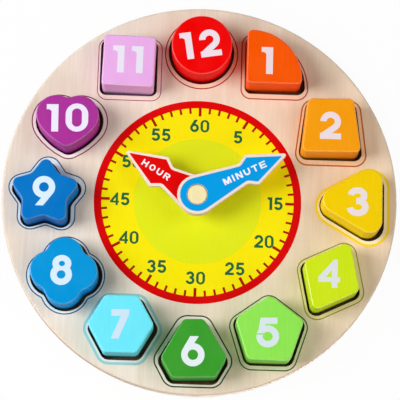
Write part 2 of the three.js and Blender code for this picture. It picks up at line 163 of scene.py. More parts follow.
def stroke(points, width):
    """The outline of a pen stroke of constant width along a line of points, with square ends."""
    left, right = [], []
    for i, point in enumerate(points):
        before = points[max(i - 1, 0)]
        after = points[min(i + 1, len(points) - 1)]
        into = (point - before).normalized() if i > 0 else (after - point).normalized()
        out = (after - point).normalized() if i < len(points) - 1 else into
        across = Vector((-(into + out).y, (into + out).x)).normalized()
        reach = width / 2 / max(across.dot(Vector((-into.y, into.x))), MITRE_LIMIT)
        left.append(point + across * reach)
        right.append(point - across * reach)
    return left + right[::-1]


def anticlockwise(loop):
    area = sum(a.x * b.y - b.x * a.y for a, b in zip(loop, loop[1:] + loop[:1]))
    return loop if area > 0 else loop[::-1]


def placed(loop, move=(0, 0), angle_deg=0.0):
    """A loop turned anticlockwise and then moved."""
    spin = Matrix.Rotation(math.radians(angle_deg), 2)
    return [spin @ Vector(p) + Vector(move) for p in loop]


def without_repeats(points, least=1e-4):
    kept = []
    for point in points:
        if not kept or (point - kept[-1]).length > least:
            kept.append(point)
    if (kept[0] - kept[-1]).length <= least:
        kept.pop()
    return kept


# Outlines of the blocks and hands, as in the CAD: lists of arcs, each (centre, radius, from, to), with a
# negative radius where the outline bends inward.

def corner_arc(before, corner, after, radius):
    """One rounded corner."""
    edge_in = (corner - before).normalized()
    edge_out = (after - corner).normalized()
    side = 1 if edge_in.cross(edge_out) > 0 else -1
    normal_in = Vector((edge_in.y, -edge_in.x))
    normal_out = Vector((edge_out.y, -edge_out.x))
    signed = radius * side
    shared = normal_in.dot(normal_out)
    centre = corner - (normal_in + normal_out) * (signed / (1 + shared))
    start = math.atan2(normal_in.y, normal_in.x)
    return centre, signed, start, start + side * math.acos(max(-1, min(1, shared)))


def rounded_polygon(corners):
    """The arcs of a polygon whose corners are (x, y, radius)."""
    points = [Vector((x, y)) for x, y, _ in corners]
    arcs = []
    for i, point in enumerate(points):
        arcs.append(corner_arc(points[i - 1], point, points[(i + 1) % len(points)], corners[i][2]))
    return arcs


def outline(arcs, offset, step_deg=7.5):
    """Points of an outline moved outward by offset."""
    points = []
    for centre, radius, start, end in arcs:
        steps = max(1, math.ceil(abs(end - start) / math.radians(step_deg)))
        for i in range(steps + 1):
            points.append(centre + turn(start + (end - start) * i / steps) * (radius + offset))
    return without_repeats(points)


def tangent_apex(point, circle_y, radius):
    """Height on the Y axis of the tangent from a point to a circle centred on that axis."""
    rise = circle_y - point.y
    slope = math.atan2(rise, -point.x) - math.asin(radius / math.hypot(point.x, rise))
    return point.y - point.x * math.tan(slope)


def regular_polygon(sides, radius_share, corner_share, first_deg):
    corners = []
    for i in range(sides):
        place = turn(math.radians(first_deg) + TAU * i / sides) * radius_share * BLOCK_CELL
        corners.append((place.x, place.y, corner_share * BLOCK_CELL))
    return rounded_polygon(corners)


def mirrored_polygon(*shares):
    """A polygon given by the corners of its right half, from the foot up, as shares of the cell."""
    right = [(x * BLOCK_CELL, y * BLOCK_CELL, r * BLOCK_CELL) for x, y, r in shares]
    left = [(-x, y, r) for x, y, r in right]
    return rounded_polygon(right + left[::-1])


def disc_outline():
    return [(Vector((0, 0)), DISC_RADIUS_SHARE * BLOCK_CELL, 0.0, TAU)]


def quarter_disc_outline():
    leg, arc_centre, heel, toe = (share * BLOCK_CELL for share in (0.813, 0.06, 0.055, 0.08))
    radius = leg - arc_centre
    reach = arc_centre + math.sqrt((radius - toe) ** 2 - (toe - arc_centre) ** 2)
    angle = math.atan2(toe - arc_centre, reach - arc_centre)
    shift = Vector((-leg / 2, -leg / 2))
    quarter = math.pi / 2
    return [
        (Vector((heel, heel)) + shift, heel, math.pi, 3 * quarter),
        (Vector((reach, toe)) + shift, toe, -quarter, angle),
        (Vector((arc_centre, arc_centre)) + shift, radius, angle, quarter - angle),
        (Vector((toe, reach)) + shift, toe, quarter - angle, math.pi),
    ]


def triangle_outline():
    height, corner = 1.053 * BLOCK_CELL, 0.187 * BLOCK_CELL
    half_side = height / math.sqrt(3)
    return rounded_polygon([
        (-2 * height / 3, 0, corner),
        (height / 3, -half_side, corner),
        (height / 3, half_side, corner),
    ])


def rhombus_outline():
    along, across = turn(math.radians(25.5)), turn(math.radians(101.65))
    half_side = 0.356 * BLOCK_CELL / along.cross(across)
    corners = []
    for a, b in ((-1, -1), (1, -1), (1, 1), (-1, 1)):
        place = (along * a + across * b) * half_side
        corners.append((place.x, place.y, 0.09 * BLOCK_CELL))
    return rounded_polygon(corners)


def quatrefoil_outline():
    place, lobe, notch = (share * BLOCK_CELL for share in (0.2133, 0.2723, 0.1272))
    across = place * math.sqrt(0.5)
    notch_place = across + math.sqrt((lobe + notch) ** 2 - across ** 2)
    reach = math.asin(notch_place * math.sqrt(0.5) / (lobe + notch))
    half = math.pi - reach if notch_place * math.sqrt(0.5) < place else reach
    arcs = []
    for i in range(4):
        angle = i * math.pi / 2
        arcs.append((turn(angle) * place, lobe, angle - half, angle + half))
        start, end = angle + half, angle + math.pi / 2 - half
        arcs.append((turn(angle + math.pi / 4) * notch_place, -notch, start, end))
    return arcs


def star_outline():
    tip_place, tip, valley_place, valley = (share * BLOCK_CELL for share in (0.389, 0.096, 0.338, 0.15))
    step = math.pi / 5
    first_valley = Vector((valley_place * math.sin(step), valley_place * math.cos(step)))
    apex = tangent_apex(first_valley, tip_place, tip)
    corners = []
    for i in range(5):
        outward = math.pi / 2 + 2 * step * i
        tip_point, valley_point = turn(outward) * apex, turn(outward + step) * valley_place
        corners.append((tip_point.x, tip_point.y, tip))
        corners.append((valley_point.x, valley_point.y, valley))
    return rounded_polygon(corners)


def heart_outline():
    lobe, lobe_y, foot_y, foot, flank, notch = (
        share * BLOCK_CELL for share in (0.294, 0.058, -0.306, 0.107, 0.976, 0.13)
    )
    lobe_x = 0.4565 * BLOCK_CELL - lobe
    from_lobe, from_foot = flank - lobe, flank - foot
    span = math.hypot(lobe_x, foot_y - lobe_y)
    along = (from_lobe ** 2 - from_foot ** 2 + span ** 2) / (2 * span)
    aside = math.sqrt(from_lobe ** 2 - along ** 2)
    down = Vector((-lobe_x, foot_y - lobe_y)) / span
    centre = Vector((
        lobe_x + along * down.x + aside * down.y,
        lobe_y + along * down.y - aside * down.x,
    ))
    at_lobe = math.atan2(lobe_y - centre.y, lobe_x - centre.x)
    at_foot = math.atan2(foot_y - centre.y, -centre.x)
    notch_y = lobe_y + math.sqrt((lobe + notch) ** 2 - lobe_x ** 2)
    at_notch = math.atan2(notch_y - lobe_y, -lobe_x)
    return [
        (Vector((0, foot_y)), foot, -math.pi - at_foot, at_foot),
        (centre, flank, at_foot, at_lobe),
        (Vector((lobe_x, lobe_y)), lobe, at_lobe, at_notch),
        (Vector((0, notch_y)), -notch, at_notch, math.pi - at_notch),
        (Vector((-lobe_x, lobe_y)), lobe, math.pi - at_notch, math.pi - at_lobe),
        (Vector((-centre.x, centre.y)), flank, math.pi - at_lobe, math.pi - at_foot),
    ]


def hand_outline(length, neck, shoulder, hub_radius=9.4, neck_radius=3.6, point_radius=0.3):
    """A hand's printed field that points to +Y; neck and shoulder are (half width, reach)."""
    neck, shoulder = Vector(neck), Vector(shoulder)
    apex = Vector((0, tangent_apex(shoulder, length - point_radius, point_radius)))
    touch = math.atan2(neck.y, neck.x) - math.acos(hub_radius / neck.length)
    touch_point = turn(touch) * hub_radius

    def mirrored(point):
        return Vector((-point.x, point.y))

    return [
        (Vector((0, 0)), hub_radius, -math.pi - touch, touch),
        corner_arc(touch_point, neck, shoulder, neck_radius),
        corner_arc(neck, shoulder, apex, point_radius),
        corner_arc(shoulder, apex, mirrored(shoulder), point_radius),
        corner_arc(apex, mirrored(shoulder), mirrored(neck), point_radius),
        corner_arc(mirrored(shoulder), mirrored(neck), mirrored(touch_point), neck_radius),
    ]


# Numerals and letters. Each is drawn in a box w wide and h high with strokes s wide, and gives the loops
# that add and the loops that cut.

# A 1 takes this share of the common width.
ONE_WIDTH = 0.53


def digit_0(w, h, s):
    return [stadium(0, 0, w, h)], [stadium(s, 0.8 * s, w - s, h - 0.8 * s)]


def digit_1(w, h, s):
    """Drawn in the left part of the box."""
    right = ONE_WIDTH * w
    left = right - 1.08 * s
    flag = 0.185 * h
    return [polygon(
        (left, 0), (right, 0), (right, h), (0, h),
        (0, h - flag), (left * 0.55, h - flag), (left, h - 1.35 * flag),
    )], []


def digit_2(w, h, s):
    outer = w / 2 * 0.98
    inner = outer - s
    centre = Vector((w / 2, h - outer))
    foot = Vector((0, 0.82 * s))
    reach = centre - foot
    slope = math.atan2(reach.y, reach.x) - math.asin(inner / reach.length)
    side = Vector((math.sin(slope), -math.cos(slope)))
    inner_touch, outer_touch = centre + side * inner, centre + side * outer
    low = outer_touch - turn(slope) * (outer_touch.y / math.sin(slope))
    start_deg, end_deg = 178, math.degrees(slope) - 90
    ring_part = arc(centre, outer, outer, end_deg, start_deg, 28)
    ring_part += arc(centre, inner, inner, start_deg, end_deg, 20)
    leg = [foot, Vector((0, 0)), low, outer_touch, inner_touch]
    return [ring_part, leg, rectangle(0, 0, w, 0.98 * s)], []


def digit_3(w, h, s):
    waist = 0.525 * h
    low, high = (waist + s / 2) / 2, (h - waist + s / 2) / 2
    rx_low, rx_high = w / 2 - s / 2, 0.9 * w / 2 - s / 2
    bottom = stroke(arc((w / 2, low), rx_low, low - s / 2, 187, 450, 30), s)
    top = stroke(arc((w / 2, h - high), rx_high, high - s / 2, 172, -90, 30), s)
    bar = rectangle(0.44 * w, waist - s / 2, 0.52 * w, waist + s / 2)
    return [bottom, top, bar], []


def digit_4(w, h, s):
    x0, x1 = 0.62 * w, 0.62 * w + 0.9 * s
    y0, y1 = 0.2 * h, 0.2 * h + 0.76 * s
    peak = x0 + 0.1 * w
    lean = (Vector((peak, h)) - Vector((0, y1))).normalized()
    start = Vector((0, y1)) + Vector((lean.y, -lean.x)) * s * 0.86
    hole_left = start + lean * ((y1 - start.y) / lean.y)
    hole_top = start + lean * ((x0 - start.x) / lean.x)
    body = polygon(
        (x0, 0), (x1, 0), (x1, y0), (w, y0), (w, y1), (x1, y1),
        (x1, h), (peak, h), (0, y1), (0, y0), (x0, y0),
    )
    return [body], [[hole_left, Vector((x0, y1)), hole_top]]


def digit_5(w, h, s):
    """The stem stands apart from the bowl by a narrow slot."""
    rx, ry = w / 2, 0.37 * h
    slot_top = 0.475 * h
    stem_top, stem_low = 0.2 * w, 0.07 * w
    stem = polygon(
        (stem_top, h), (0.94 * w, h), (0.94 * w, h - s), (stem_top + 0.75 * s, h - s),
        (stem_low + s, slot_top + 0.4 * s), (stem_low + s, slot_top), (stem_low, slot_top),
    )
    hole = ellipse((rx, ry), rx - s, ry - s, 32)
    slot = rectangle(-1, slot_top - 0.2 * s, rx - 0.55 * s, slot_top)
    return [ellipse((rx, ry), rx, ry, 40), stem], [hole, slot]


def digit_6(w, h, s, outer_lean_deg=60.0, inner_lean_deg=57.0):
    radius = w / 2
    centre = Vector((radius, radius))
    stem = []
    for lean_deg, reach in ((outer_lean_deg, radius), (inner_lean_deg, radius - s)):
        lean = turn(math.radians(lean_deg))
        touch = centre + Vector((-lean.y, lean.x)) * reach
        stem.append((touch, touch + lean * ((h - touch.y) / lean.y)))
    (outer_low, outer_top), (inner_low, inner_top) = stem
    shapes = [circle(radius, 40, centre), [outer_low, inner_low, inner_top, outer_top]]
    return shapes, [circle(radius - s, 32, centre)]


def digit_7(w, h, s):
    right = 0.86 * w
    heel = -0.1 * s
    return [polygon(
        (0, h), (right, h), (right, h - 0.75 * s), (heel + 1.2 * s, 0), (heel, 0),
        (right - 1.3 * s, h - s), (0, h - s),
    )], []


def digit_8(w, h, s):
    low, high = 0.35 * h, 0.285 * h
    rx_low, rx_high = 0.49 * w, 0.43 * w
    low_centre, high_centre = (w / 2, low), (w / 2, h - high)
    shapes = [ellipse(low_centre, rx_low, low, 40), ellipse(high_centre, rx_high, high, 40)]
    holes = [
        ellipse(low_centre, rx_low - s, low - s, 28),
        ellipse(high_centre, rx_high - s, high - 0.92 * s, 28),
    ]
    return shapes, holes


def digit_9(w, h, s):
    """A 6 turned upside down, with a straighter stem."""
    corner = Vector((w, h))
    loops = digit_6(w, h, s, 53.1, 53.1)
    shapes, holes = ([[corner - p for p in loop] for loop in part] for part in loops)
    return shapes, holes


DIGITS = {
    "0": digit_0, "1": digit_1, "2": digit_2, "3": digit_3, "4": digit_4,
    "5": digit_5, "6": digit_6, "7": digit_7, "8": digit_8, "9": digit_9,
}

# Width and height of each digit on the blocks as shares of the common box.
DIGIT_SHARES = {
    "0": (0.99, 0.99), "1": (0.97, 0.96), "2": (0.93, 0.97), "3": (0.96, 1.0), "4": (0.94, 0.96),
    "5": (0.98, 1.0), "6": (1.0, 1.01), "7": (0.9, 0.98), "8": (0.95, 1.02), "9": (0.98, 1.02),
}


def block_digit(character, w, h, s):
    wide, tall = DIGIT_SHARES[character]
    return DIGITS[character](w * wide, h * tall, s)


def dial_digit(character, w, h, s):
    """The dial's lighter digits: as on the blocks but for an open 5."""
    if character != "5":
        return DIGITS[character](w, h, s)
    centre = (w / 2, 0.335 * h)
    bowl = arc(centre, w / 2 - s / 2, 0.335 * h - s / 2, 142, -158, 30)
    bar_y = h - s / 2
    flag = polygon((0.92 * w, bar_y), (0.27 * w, bar_y)) + [bowl[0] + Vector((-0.1 * s, -0.2 * s))]
    return [stroke(flag, s), stroke(bowl, s)], []


def letter(character, w, h, s):
    """A plain capital: E, H, I, M, N, O, R, T or U."""
    stem, far_stem = rectangle(0, 0, s, h), rectangle(w - s, 0, w, h)
    if character == "H":
        return [stem, far_stem, rectangle(0, h / 2 - s / 2, w, h / 2 + s / 2)], []
    if character == "O":
        centre = (w / 2, h / 2)
        return [ellipse(centre, w / 2, h / 2, 32)], [ellipse(centre, w / 2 - s, h / 2 - s * 0.85, 24)]
    if character == "U":
        bowl_y = w * 0.42
        bowl = arc((w / 2, bowl_y), w / 2 - s / 2, bowl_y - s / 2, 180, 360, 16)
        return [stroke([Vector((s / 2, h))] + bowl + [Vector((w - s / 2, h))], s)], []
    if character == "R":
        belly = 0.29 * h
        bowl = rectangle(0, h - 2 * belly, w - belly, h)
        tip = arc((w - belly * 1.05, h - belly), belly, belly, -90, 90, 12)
        leg_x = 0.38 * w
        leg = polygon((leg_x, 0.5 * h), (w - 1.2 * s, 0), (w, 0), (leg_x + 1.2 * s, 0.5 * h))
        hole = rectangle(s, h - 2 * belly + 0.75 * s, w - belly, h - 0.75 * s)
        return [stem, bowl, tip, leg], [hole]
    if character == "M":
        drop = polygon(
            (0, h), (w / 2 - 0.55 * s, 0), (w / 2 + 0.55 * s, 0), (w, h),
            (w - s * 1.2, h), (w / 2, 0.42 * h), (1.2 * s, h),
        )
        return [stem, far_stem, drop], []
    if character == "N":
        return [stem, far_stem, polygon((0, h), (w - s * 1.2, 0), (w, 0), (s * 1.2, h))], []
    if character == "I":
        return [stem], []
    top_bar = rectangle(0, h - 0.85 * s, w, h)
    if character == "T":
        return [top_bar, rectangle(w / 2 - s / 2, 0, w / 2 + s / 2, h)], []
    # What is left is the E.
    middle_bar = rectangle(0, h / 2 - 0.42 * s, 0.92 * w, h / 2 + 0.42 * s)
    return [top_bar, stem, middle_bar, rectangle(0, 0, w, 0.85 * s)], []


# Widths of the thin and the wide signs, as shares of the common width. A 1 is drawn narrow by itself, so
# only the step to the next digit is told.
DIGIT_STEPS = {"1": ONE_WIDTH}
LETTER_WIDTHS = {"I": 0.27, "M": 1.18}


def glyph_row(text, maker, width, height, weight, gap):
    """A word or number centred on the origin: for each sign, the loops that add and the loops that cut."""
    regions = []
    x = 0.0
    for character in text:
        own_width = width * LETTER_WIDTHS.get(character, 1.0)
        adds, cuts = maker(character, own_width, height, weight)
        regions.append(([placed(loop, (x, 0)) for loop in adds], [placed(loop, (x, 0)) for loop in cuts]))
        x += own_width * DIGIT_STEPS.get(character, 1.0) + gap
    return moved_regions(regions, (-(x - gap) / 2, -height / 2))


def moved_regions(regions, move, angle_deg=0.0):
    result = []
    for adds, cuts in regions:
        result.append((
            [placed(loop, move, angle_deg) for loop in adds],
            [placed(loop, move, angle_deg) for loop in cuts],
        ))
    return result


# Pieces

def thin_solid(name, regions, bottom, material, body):
    """A closed film. Each region is (loops that add, loops that cut)."""
    vertices, faces = [], []
    for adds, cuts in regions:
        coords, loops = [], []
        for loop in adds + cuts:
            loop = anticlockwise(without_repeats([Vector(p) for p in loop]))
            loops.append(list(range(len(coords), len(coords) + len(loop))))
            coords.extend(loop)
        inside_only, least_gap = 1, 1e-6
        flat, _, triangles, _, _, origins = delaunay_2d_cdt(coords, [], loops, inside_only, least_gap)
        kept = []
        for triangle, origin in zip(triangles, origins):
            if any(i < len(adds) for i in origin) and not any(i >= len(adds) for i in origin):
                kept.append(triangle)
        base = len(vertices)
        count = len(flat)
        vertices += [(p.x * MM, p.y * MM, (bottom + FILM) * MM) for p in flat]
        vertices += [(p.x * MM, p.y * MM, bottom * MM) for p in flat]
        edges = set()
        for triangle in kept:
            a, b, c = triangle
            if (flat[b] - flat[a]).cross(flat[c] - flat[a]) < 0:
                a, b, c = a, c, b
            faces.append((base + a, base + b, base + c))
            faces.append((base + count + c, base + count + b, base + count + a))
            edges.update(((a, b), (b, c), (c, a)))
        for a, b in edges:
            if (b, a) not in edges:
                faces.append((base + b, base + a, base + count + a, base + count + b))
    mesh_piece(name, vertices, faces, material, body)


def mesh_piece(name, vertices, faces, material, body):
    mesh = bpy.data.meshes.new(name)
    used = sorted({i for face in faces for i in face})
    index = {old: new for new, old in enumerate(used)}
    mesh.from_pydata([vertices[i] for i in used], [], [[index[i] for i in face] for face in faces])
    mesh.validate()
    mesh.materials.append(material)
    piece = bpy.data.objects.new(name, mesh)
    bpy.context.scene.collection.objects.link(piece)
    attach(piece, body)
    return piece


def rounded_block(name, node, arcs, place, turn_deg, material, body):
    """A block with finely rounded edges in place of its faceted node."""
    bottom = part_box(node)[0].z / MM
    curve = []
    for i in range(BLOCK_EDGE_STEPS + 1):
        angle = math.pi / 2 * i / BLOCK_EDGE_STEPS
        curve.append((BLOCK_EDGE * (1 - math.sin(angle)), BLOCK_EDGE * (1 - math.cos(angle))))
    # Rings just past the rounding keep the smooth shading of the sides flat.
    flat_from = BLOCK_EDGE + 0.3
    profile = [(inset, bottom + rise) for inset, rise in curve]
    profile += [(0, bottom + flat_from), (0, BLOCK_TOP - flat_from)]
    profile += [(inset, BLOCK_TOP - rise) for inset, rise in curve[::-1]]
    vertices, faces = [], []
    for inset, height in profile:
        loop = placed(outline(arcs, -inset, step_deg=3.0), place, turn_deg)
        vertices += [(p.x * MM, p.y * MM, height * MM) for p in loop]
    count = len(loop)
    for ring in range(len(profile) - 1):
        for i in range(count):
            a, b = ring * count + i, ring * count + (i + 1) % count
            faces.append((a, b, b + count, a + count))
    faces.append(tuple(range(count))[::-1])
    faces.append(tuple(range(len(vertices) - count, len(vertices))))
    piece = mesh_piece(name, vertices, faces, material, body)
    for face in piece.data.polygons:
        face.use_smooth = face.loop_total == 4
    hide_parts(node)


# Materials

def linear(rgb):
    """An sRGB colour as the shader's linear colour."""
    result = []
    for value in rgb:
        share = value / 255
        result.append(share / 12.92 if share <= 0.04045 else ((share + 0.055) / 1.055) ** 2.4)
    return (*result, 1.0)


def times(rgb, factor):
    return tuple(factor * value for value in rgb)


def paler(rgb, share):
    """A colour moved this share of the way to white."""
    return tuple(value + share * (255 - value) for value in rgb)


# The upward part of a surface's direction under which it counts as upright, and over which as level.
UPRIGHT_BELOW, LEVEL_ABOVE = 0.55, 0.9


class Shader:
    """A node tree with the Principled shader and object coordinates ready."""

    def __init__(self, name, metallic=0.0, specular=0.5):
        self.material = bpy.data.materials.new(name)
        self.material.use_nodes = True
        self.tree = self.material.node_tree
        self.tree.nodes.clear()
        self.surface = self.add("ShaderNodeBsdfPrincipled")
        self.surface.inputs["Metallic"].default_value = metallic
        self.surface.inputs["Specular IOR Level"].default_value = specular
        output = self.add("ShaderNodeOutputMaterial")
        self.link(self.surface.outputs[0], output.inputs[0])
        self.place = self.add("ShaderNodeTexCoord").outputs["Object"]

    def add(self, kind, **settings):
        node = self.tree.nodes.new(kind)
        for key, value in settings.items():
            setattr(node, key, value)
        return node

    def link(self, start, end):
        self.tree.links.new(start, end)

    def noise(self, scale, detail=2.0, rough=0.5, distortion=0.0):
        """Noise over object coordinates stretched by scale, given per metre along X, Y and Z."""
        mapping = self.add("ShaderNodeMapping")
        mapping.inputs["Scale"].default_value = scale
        self.link(self.place, mapping.inputs["Vector"])
        texture = self.add("ShaderNodeTexNoise")
        texture.inputs["Scale"].default_value = 1.0
        texture.inputs["Detail"].default_value = detail
        texture.inputs["Roughness"].default_value = rough
        texture.inputs["Distortion"].default_value = distortion
        self.link(mapping.outputs[0], texture.inputs["Vector"])
        return texture.outputs["Fac"]

    def spread(self, value, low, high, from_low=0.3, from_high=0.7):
        """A value remapped to low and high; most of a noise lies in the range given here."""
        node = self.add("ShaderNodeMapRange")
        node.inputs["From Min"].default_value = from_low
        node.inputs["From Max"].default_value = from_high
        node.inputs["To Min"].default_value = low
        node.inputs["To Max"].default_value = high
        self.link(value, node.inputs["Value"])
        return node.outputs["Result"]

    def mix(self, factor, first, second):
        """Mixes two colours, each a socket or an sRGB triple."""
        node = self.add("ShaderNodeMix", data_type="RGBA")
        self.link(factor, node.inputs[0])
        for value, socket in ((first, node.inputs[6]), (second, node.inputs[7])):
            if isinstance(value, tuple):
                socket.default_value = linear(value)
            else:
                self.link(value, socket)
        return node.outputs[2]

    def multiply(self, first, second):
        node = self.add("ShaderNodeMath", operation="MULTIPLY")
        self.link(first, node.inputs[0])
        self.link(second, node.inputs[1])
        return node.outputs[0]

    def along(self, axis):
        split = self.add("ShaderNodeSeparateXYZ")
        self.link(self.place, split.inputs[0])
        return split.outputs[axis]

    def from_middle(self):
        """The distance from the object's upright axis."""
        flat = self.add("ShaderNodeVectorMath", operation="MULTIPLY")
        self.link(self.place, flat.inputs[0])
        flat.inputs[1].default_value = (1, 1, 0)
        length = self.add("ShaderNodeVectorMath", operation="LENGTH")
        self.link(flat.outputs["Vector"], length.inputs[0])
        return length.outputs["Value"]

    def rise(self):
        """The upward part of the surface's direction: 1 facing up, 0 upright and -1 facing down."""
        geometry = self.add("ShaderNodeNewGeometry")
        split = self.add("ShaderNodeSeparateXYZ")
        self.link(geometry.outputs["Normal"], split.inputs[0])
        return split.outputs["Z"]

    def facing_up(self):
        return self.spread(self.rise(), 0.0, 1.0, UPRIGHT_BELOW, LEVEL_ABOVE)

    def on_sides(self):
        """1 where the surface is upright and 0 where it is level."""
        size = self.add("ShaderNodeMath", operation="ABSOLUTE")
        self.link(self.rise(), size.inputs[0])
        return self.spread(size.outputs[0], 1.0, 0.0, UPRIGHT_BELOW, LEVEL_ABOVE)

    def bump(self, value, distance, strength):
        node = self.add("ShaderNodeBump")
        node.inputs["Distance"].default_value = distance
        node.inputs["Strength"].default_value = strength
        self.link(value, node.inputs["Height"])
        self.link(node.outputs[0], self.surface.inputs["Normal"])

    def colour(self, socket):
        self.link(socket, self.surface.inputs["Base Color"])

    def roughness(self, socket):
        self.link(socket, self.surface.inputs["Roughness"])


# Laser-cut walls, their scorch darkened further as painted shade of the narrow gaps, and the sockets'
# floors, painted dark as shade of the recess.
SCORCH_AND_SHADE, SHADED_SOCKET_FLOOR = (62, 40, 30), (124, 94, 72)


def plywood(name, pale, right_tint_and_shade, dark, ply_pale, ply_dark, ply_thickness, first_ply, contrast=1.0,
            socket_walls=False, socket_floors=False):
    """Birch ply: short fibres along Y on the faces, warmer to the right as the wood's tone and as a painted
    warm shade of the light, and the plies as bands on the edges, from the height first_ply up. The upright
    faces inside the board can be socket walls, their scorch darkened as painted shade of the gaps, and the
    faces that look up can be socket floors, darkened as painted shade of the recess."""
    shader = Shader(name, specular=0.2)
    fibre = shader.noise((820, 42, 820), detail=5.0, rough=0.65, distortion=0.9)
    figure = shader.noise((110, 14, 110), detail=3.0, rough=0.55, distortion=1.4)
    cloud = shader.noise((22, 15, 22))
    # Towards the right the face takes the second colour: the wood's tone, and a painted warm shade where the
    # light falls off.
    face = shader.mix(shader.spread(shader.along("X"), 0.0, 1.0, -40 * MM, 100 * MM), pale, right_tint_and_shade)
    for grain, share in ((fibre, 0.34), (figure, 0.3), (cloud, 0.24)):
        face = shader.mix(shader.spread(grain, 0.0, share * contrast), face, dark)
    if socket_floors:
        # The sockets' floors are painted dark as shade of the recess, streaked with the scorch colour.
        shaded_floor = shader.mix(shader.spread(fibre, 0.0, 0.7), SHADED_SOCKET_FLOOR, SCORCH_AND_SHADE)
        face = shader.mix(shader.facing_up(), face, shaded_floor)
    level = shader.add("ShaderNodeMath", operation="SUBTRACT")
    shader.link(shader.along("Z"), level.inputs[0])
    level.inputs[1].default_value = first_ply * MM
    wrap = shader.add("ShaderNodeMath", operation="PINGPONG")
    shader.link(level.outputs[0], wrap.inputs[0])
    wrap.inputs[1].default_value = ply_thickness * MM
    fade_from, fade_to = 0.42 * ply_thickness * MM, 0.58 * ply_thickness * MM
    edge = shader.mix(shader.spread(wrap.outputs[0], 0.0, 1.0, fade_from, fade_to), ply_pale, ply_dark)
    grit = shader.noise((700, 700, 2600), detail=3.0, rough=0.6)
    edge = shader.mix(shader.spread(grit, 0.0, 0.35), edge, ply_dark)
    if socket_walls:
        # Upright faces inside take the scorch colour with its painted shade; the outermost 2 mm are the
        # board's own rim, which gets neither.
        rim_from, rim_to = (BOARD_RADIUS - 2) * MM, (BOARD_RADIUS - 1) * MM
        edge = shader.mix(shader.spread(shader.from_middle(), 1.0, 0.0, rim_from, rim_to), edge, SCORCH_AND_SHADE)
    shader.colour(shader.mix(shader.on_sides(), face, edge))
    shader.roughness(shader.spread(fibre, 0.5, 0.72))
    shader.bump(fibre, 0.05 * MM, 0.5)
    return shader.material


def paint(name, rgb):
    """Satin paint on a block: faint grain under it, slow cloudiness, and a rounded top edge that catches the
    light, painted paler for wear and as a painted highlight."""
    shader = Shader(name, specular=0.1)
    grain = shader.noise((900, 60, 900), detail=3.0, rough=0.6, distortion=0.3)
    cloud = shader.noise((110, 90, 110))
    colour = shader.mix(shader.spread(grain, 0.0, 0.3), rgb, times(rgb, 0.9))
    colour = shader.mix(shader.spread(cloud, 0.0, 0.35), colour, paler(rgb, 0.08))
    # The paler rim, wear and painted highlight, fades in from 1.1 to 0.45 mm under the block's top, and out
    # from 0.2 to 0.02 mm.
    height = shader.along("Z")
    above = shader.spread(height, 0.0, 1.0, (BLOCK_TOP - 1.1) * MM, (BLOCK_TOP - 0.45) * MM)
    below = shader.spread(height, 1.0, 0.0, (BLOCK_TOP - 0.2) * MM, (BLOCK_TOP - 0.02) * MM)
    rim = shader.multiply(above, below)
    scuffs_and_highlight = shader.spread(shader.noise((420, 420, 420), detail=3.0, rough=0.6), 0.0, 0.3)
    # The rim is painted paler, as wear and as a painted highlight on the rounded edge.
    shader.colour(shader.mix(shader.multiply(rim, scuffs_and_highlight), colour, paler(rgb, 0.4)))
    shader.link(shader.spread(rim, 0.06, 0.9, 0.0, 1.0), shader.surface.inputs["Specular IOR Level"])
    shader.roughness(shader.spread(cloud, 0.36, 0.5))
    shader.bump(grain, 0.03 * MM, 0.5)
    return shader.material


def ink(name, rgb, wear=0.25):
    """A screen-printed film: the fibres show through it a little."""
    shader = Shader(name, specular=0.05)
    fibre = shader.noise((1500, 70, 1500), detail=3.0, rough=0.6, distortion=0.3)
    cloud = shader.noise((60, 50, 60))
    colour = shader.mix(shader.spread(fibre, 0.0, wear), rgb, times(rgb, 0.93))
    shader.colour(shader.mix(shader.spread(cloud, 0.0, 0.4), colour, paler(rgb, 0.07)))
    shader.roughness(shader.spread(fibre, 0.42, 0.58))
    shader.bump(fibre, 0.03 * MM, 0.4)
    return shader.material


def turned_wood(name, pale, dark):
    shader = Shader(name, specular=0.4)
    grain = shader.noise((520, 70, 240), detail=4.0, rough=0.6, distortion=0.5)
    fleck = shader.noise((1500, 260, 900))
    colour = shader.mix(shader.spread(grain, 0.0, 0.7), pale, dark)
    shader.colour(shader.mix(shader.spread(fleck, 0.0, 0.3, 0.5, 0.75), colour, dark))
    shader.roughness(shader.spread(grain, 0.45, 0.62))
    shader.bump(grain, 0.05 * MM, 0.5)
    return shader.material


def felt(name, rgb):
    shader = Shader(name, specular=0.1)
    fuzz = shader.noise((2600, 2600, 2600), detail=4.0, rough=0.7)
    shader.colour(shader.mix(shader.spread(fuzz, 0.0, 1.0), rgb, times(rgb, 1.8)))
    shader.roughness(shader.spread(fuzz, 0.9, 1.0))
    shader.bump(fuzz, 0.2 * MM, 0.8)
    return shader.material


def plated_steel(name, rgb):
    shader = Shader(name, metallic=1.0)
    brushed = shader.noise((300, 2800, 2800), detail=3.0, rough=0.6)
    spots = shader.noise((240, 240, 240))
    colour = shader.mix(shader.spread(brushed, 0.0, 0.5), rgb, times(rgb, 0.8))
    shader.colour(shader.mix(shader.spread(spots, 0.0, 0.3, 0.5, 0.8), colour, times(rgb, 0.6)))
    shader.roughness(shader.spread(brushed, 0.25, 0.42))
    shader.bump(brushed, 0.02 * MM, 0.4)
    return shader.material


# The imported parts' own looks

